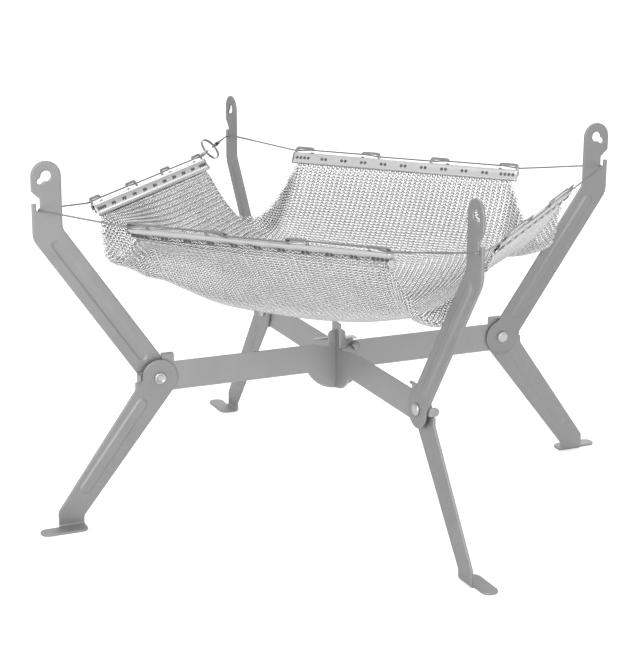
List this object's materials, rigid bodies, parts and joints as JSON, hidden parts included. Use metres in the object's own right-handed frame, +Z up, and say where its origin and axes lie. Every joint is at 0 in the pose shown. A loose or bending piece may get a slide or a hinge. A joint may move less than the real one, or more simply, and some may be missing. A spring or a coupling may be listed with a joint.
{
  "type": "portable fire pit",
  "caption": "Folding camp fire pit: crossed flat bars with hinged legs and arms that hold a square ring-mesh bowl hung on a wire rope between clamp rails.",
  "frame": {"origin": "on the ground, below the crossing of the two bars", "axes": "+Z is up, +X runs along the lower bar to the arm at the picture's right, +Y runs along the upper bar to the arm at the picture's back"},
  "size_m": [0.551, 0.551, 0.3135],
  "materials": {
    "blasted_steel": "fine blasted, matte",
    "bright_steel": "bright, lightly brushed",
    "ferrule_metal": "crimped, satin",
    "wire_rope": "twisted strands, bright",
    "ring_mesh": "linked round rings, bright",
    "dark_steel": "dark, satin"
  },
  "bodies": {
    "lower_frame": {"lower_bar": "blasted_steel", "knee_rivet_left": "bright_steel", "knee_rivet_right": "bright_steel", "latch_pin": "dark_steel", "latch_spring": "dark_steel"},
    "upper_frame": {"upper_bar": "blasted_steel", "knee_rivet_front": "bright_steel", "knee_rivet_back": "bright_steel"},
    "latch": {"latch_plate": "bright_steel"},
    "tray": {"fire_mesh": "ring_mesh", "rail_front": "bright_steel", "rail_right": "bright_steel", "rail_rear": "bright_steel", "rail_left": "bright_steel", "tray_cable": "wire_rope", "cable_ring": "bright_steel", "ferrule_rail": "ferrule_metal", "ferrule_arm": "ferrule_metal"},
    "right_arm": {"arm_right": "blasted_steel"},
    "right_leg": {"leg_right": "blasted_steel"},
    "back_arm": {"arm_back": "blasted_steel"},
    "back_leg": {"leg_back": "blasted_steel"},
    "left_arm": {"arm_left": "blasted_steel"},
    "left_leg": {"leg_left": "blasted_steel"},
    "front_arm": {"arm_front": "blasted_steel"},
    "front_leg": {"leg_front": "blasted_steel"}
  },
  "joints": [
    {"name": "cross_lift", "type": "slide", "parent": "lower_frame", "child": "upper_frame", "axis": [0, 0, 1], "range_m": [0, 0.055], "deforming": ["tray_cable", "latch_spring"]},
    {"name": "latch_turn", "type": "hinge", "parent": "lower_frame", "child": "latch", "pos_m": [0.016, 0, 0.1303], "axis": [0, 1, 0], "range_deg": [0, 130]},
    {"name": "tray_lift", "type": "slide", "parent": "upper_frame", "child": "tray", "axis": [0, 0, 1], "range_m": [0, 0.25], "deforming": ["tray_cable"]},
    {"name": "arm_fold_right", "type": "hinge", "parent": "lower_frame", "child": "right_arm", "pos_m": [0.165, 0, 0.122], "axis": [0, 1, 0], "range_deg": [0, 195], "deforming": ["tray_cable"]},
    {"name": "leg_fold_right", "type": "hinge", "parent": "lower_frame", "child": "right_leg", "pos_m": [0.165, 0, 0.122], "axis": [0, 1, 0], "range_deg": [0, 120]},
    {"name": "arm_fold_back", "type": "hinge", "parent": "upper_frame", "child": "back_arm", "pos_m": [0, 0.165, 0.122], "axis": [-1, 0, 0], "range_deg": [0, 195], "deforming": ["tray_cable"]},
    {"name": "leg_fold_back", "type": "hinge", "parent": "upper_frame", "child": "back_leg", "pos_m": [0, 0.165, 0.122], "axis": [-1, 0, 0], "range_deg": [0, 120]},
    {"name": "arm_fold_left", "type": "hinge", "parent": "lower_frame", "child": "left_arm", "pos_m": [-0.165, 0, 0.122], "axis": [0, -1, 0], "range_deg": [0, 195], "deforming": ["tray_cable"]},
    {"name": "leg_fold_left", "type": "hinge", "parent": "lower_frame", "child": "left_leg", "pos_m": [-0.165, 0, 0.122], "axis": [0, -1, 0], "range_deg": [0, 120]},
    {"name": "arm_fold_front", "type": "hinge", "parent": "upper_frame", "child": "front_arm", "pos_m": [0, -0.165, 0.122], "axis": [1, 0, 0], "range_deg": [0, 195], "deforming": ["tray_cable"]},
    {"name": "leg_fold_front", "type": "hinge", "parent": "upper_frame", "child": "front_leg", "pos_m": [0, -0.165, 0.122], "axis": [1, 0, 0], "range_deg": [0, 120]}
  ],
  "couplings": [
    {"joint": "latch_turn", "follows": "cross_lift", "rad_per_m": 40}
  ]
}
